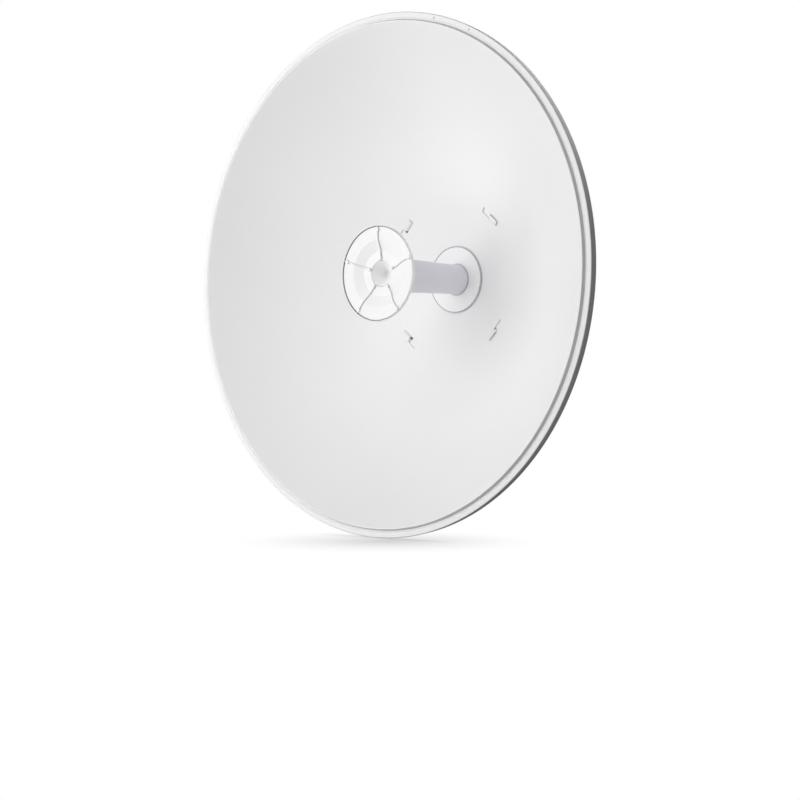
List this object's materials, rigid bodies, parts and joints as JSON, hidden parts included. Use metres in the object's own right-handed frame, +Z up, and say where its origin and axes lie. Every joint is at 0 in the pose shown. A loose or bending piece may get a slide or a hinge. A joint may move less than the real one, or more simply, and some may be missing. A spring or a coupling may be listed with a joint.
{
  "type": "dish antenna",
  "caption": "Prime-focus dish antenna: white parabolic reflector with a tube feed and ribbed sub-reflector, on a tilting bracket clamped to a mast.",
  "frame": {"origin": "middle of the flat rear face of the mast bracket, on the dish axis", "axes": "+Z up along the mast, the dish looks along -Y, +X to the right as seen from the front"},
  "size_m": [0.65, 0.372, 0.65],
  "materials": {
    "white_paint": "satin powder coat",
    "white_plastic": "moulded, semi-matt",
    "tube_plastic": "moulded, semi-matt, bluish",
    "zinc_steel": "galvanised",
    "bolt_steel": "zinc plated",
    "nickel": "nickel plated"
  },
  "bodies": {
    "root": {"reflector": "white_paint", "hub_plate": "white_paint", "hub_hook_1": "white_paint", "hub_hook_2": "white_paint", "hub_hook_3": "white_paint", "hub_hook_4": "white_paint", "feed_base": "white_plastic", "feed_tube": "tube_plastic", "feed_cone": "white_plastic", "feed_nose": "white_plastic", "sub_reflector": "white_plastic", "feed_lock_ring": "white_plastic", "feed_rear_cap": "white_plastic", "signal_socket_left": "nickel", "signal_socket_right": "nickel", "dish_bracket": "zinc_steel", "mast_bracket": "zinc_steel", "clamp_jaw_upper": "zinc_steel", "clamp_jaw_lower": "zinc_steel", "hub_bolt_1": "bolt_steel", "hub_bolt_2": "bolt_steel", "hub_bolt_3": "bolt_steel", "hub_bolt_4": "bolt_steel", "pivot_bolt_left": "bolt_steel", "pivot_bolt_right": "bolt_steel", "pivot_nut_left": "bolt_steel", "pivot_nut_right": "bolt_steel", "lock_bolt_left": "bolt_steel", "lock_bolt_right": "bolt_steel", "lock_nut_left": "bolt_steel", "lock_nut_right": "bolt_steel", "clamp_bolt_1": "bolt_steel", "clamp_bolt_2": "bolt_steel", "clamp_bolt_3": "bolt_steel", "clamp_bolt_4": "bolt_steel", "clamp_nut_1": "bolt_steel", "clamp_nut_2": "bolt_steel", "clamp_nut_3": "bolt_steel", "clamp_nut_4": "bolt_steel"}
  },
  "joints": []
}
